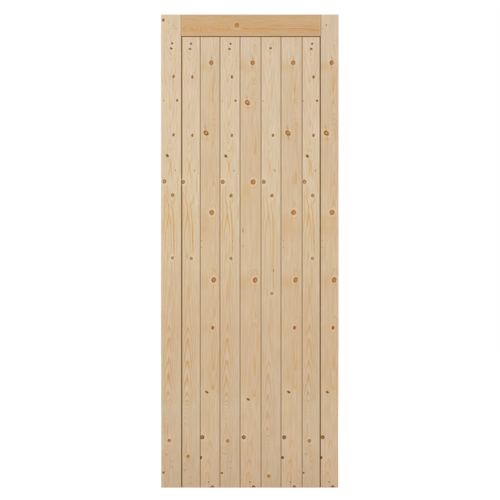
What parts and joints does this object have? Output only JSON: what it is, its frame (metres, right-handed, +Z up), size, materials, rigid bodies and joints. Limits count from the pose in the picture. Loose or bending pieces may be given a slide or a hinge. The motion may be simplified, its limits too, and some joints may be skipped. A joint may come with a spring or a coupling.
{
  "type": "barn door leaf",
  "caption": "Framed, ledged and braced softwood door leaf: stiles and top rail round vertical V-jointed boards, with ledges and diagonal braces behind.",
  "frame": {"origin": "centre of the leaf's foot, halfway through its thickness", "axes": "+Z up, +X to the right seen from the boarded face, +Y from the boarded face to the braced back"},
  "size_m": [0.762, 0.044, 2.032],
  "materials": {
    "stile_timber": "bare planed softwood with knots",
    "rail_timber": "bare planed softwood, warmer in tone",
    "board_timber": "bare planed softwood with knots",
    "back_timber": "bare planed softwood with knots",
    "wedge_timber": "sawn end grain",
    "screw_steel": "zinc plated"
  },
  "bodies": {
    "root": {"board_1": "board_timber", "board_2": "board_timber", "board_3": "board_timber", "board_4": "board_timber", "board_5": "board_timber", "board_6": "board_timber", "board_7": "board_timber", "bottom_ledge": "back_timber", "bottom_ledge_left_wedge_1": "wedge_timber", "bottom_ledge_left_wedge_2": "wedge_timber", "bottom_ledge_left_wedge_3": "wedge_timber", "bottom_ledge_left_wedge_4": "wedge_timber", "bottom_ledge_right_wedge_1": "wedge_timber", "bottom_ledge_right_wedge_2": "wedge_timber", "bottom_ledge_right_wedge_3": "wedge_timber", "bottom_ledge_right_wedge_4": "wedge_timber", "bottom_ledge_screws": "screw_steel", "left_stile": "stile_timber", "lower_brace": "back_timber", "lower_brace_screws": "screw_steel", "middle_ledge": "back_timber", "middle_ledge_left_wedge_1": "wedge_timber", "middle_ledge_left_wedge_2": "wedge_timber", "middle_ledge_left_wedge_3": "wedge_timber", "middle_ledge_left_wedge_4": "wedge_timber", "middle_ledge_right_wedge_1": "wedge_timber", "middle_ledge_right_wedge_2": "wedge_timber", "middle_ledge_right_wedge_3": "wedge_timber", "middle_ledge_right_wedge_4": "wedge_timber", "middle_ledge_screws": "screw_steel", "right_stile": "stile_timber", "top_rail": "rail_timber", "top_rail_left_wedge_1": "wedge_timber", "top_rail_left_wedge_2": "wedge_timber", "top_rail_right_wedge_1": "wedge_timber", "top_rail_right_wedge_2": "wedge_timber", "upper_brace": "back_timber", "upper_brace_screws": "screw_steel"}
  },
  "joints": []
}
